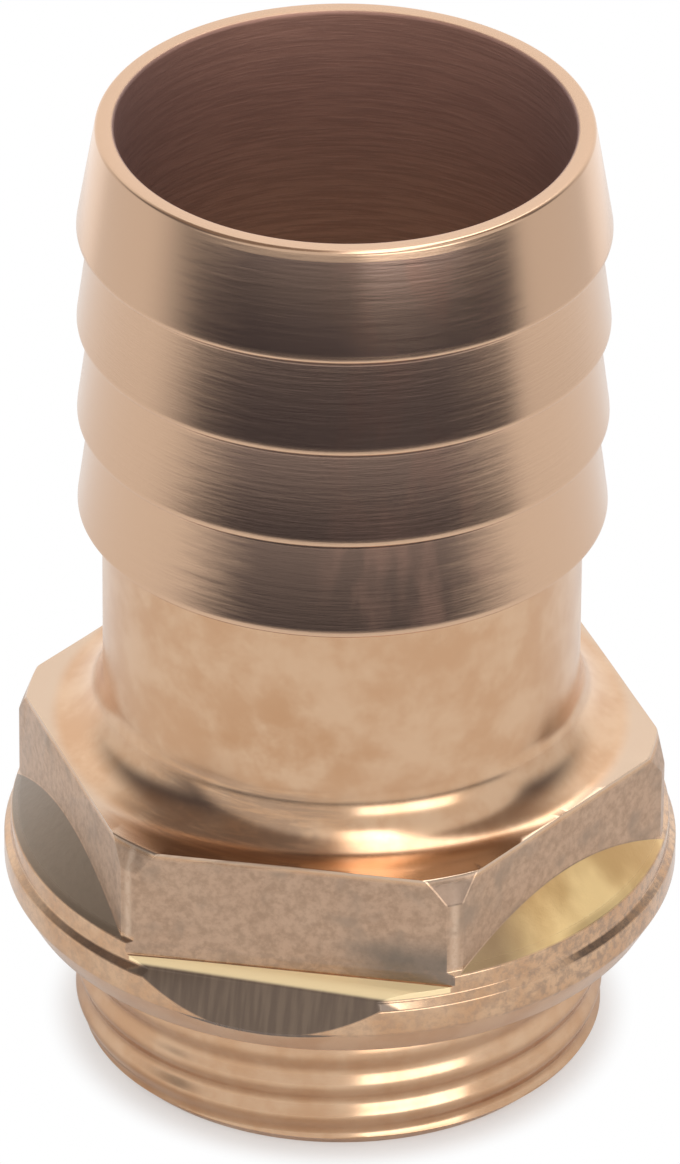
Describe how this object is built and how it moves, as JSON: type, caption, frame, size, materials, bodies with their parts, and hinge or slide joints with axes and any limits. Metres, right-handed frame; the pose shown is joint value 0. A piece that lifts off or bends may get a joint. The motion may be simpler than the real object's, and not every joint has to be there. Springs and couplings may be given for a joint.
{
  "type": "hose barb tail",
  "caption": "Turned brass hose tail: a barbed spigot for a flexible hose, a hexagon for a spanner, a flange and a male pipe thread.",
  "frame": {"origin": "centre of the end face of the thread, which the part stands on", "axes": "+Z along the bore, from the thread to the hose end; -Y square to the flat that has the milled ledge"},
  "size_m": [0.0335, 0.0334, 0.0509],
  "materials": {
    "brass": "turned and milled, with a warm copper-toned sheen"
  },
  "bodies": {
    "root": {"hose_tail": "brass"}
  },
  "joints": []
}
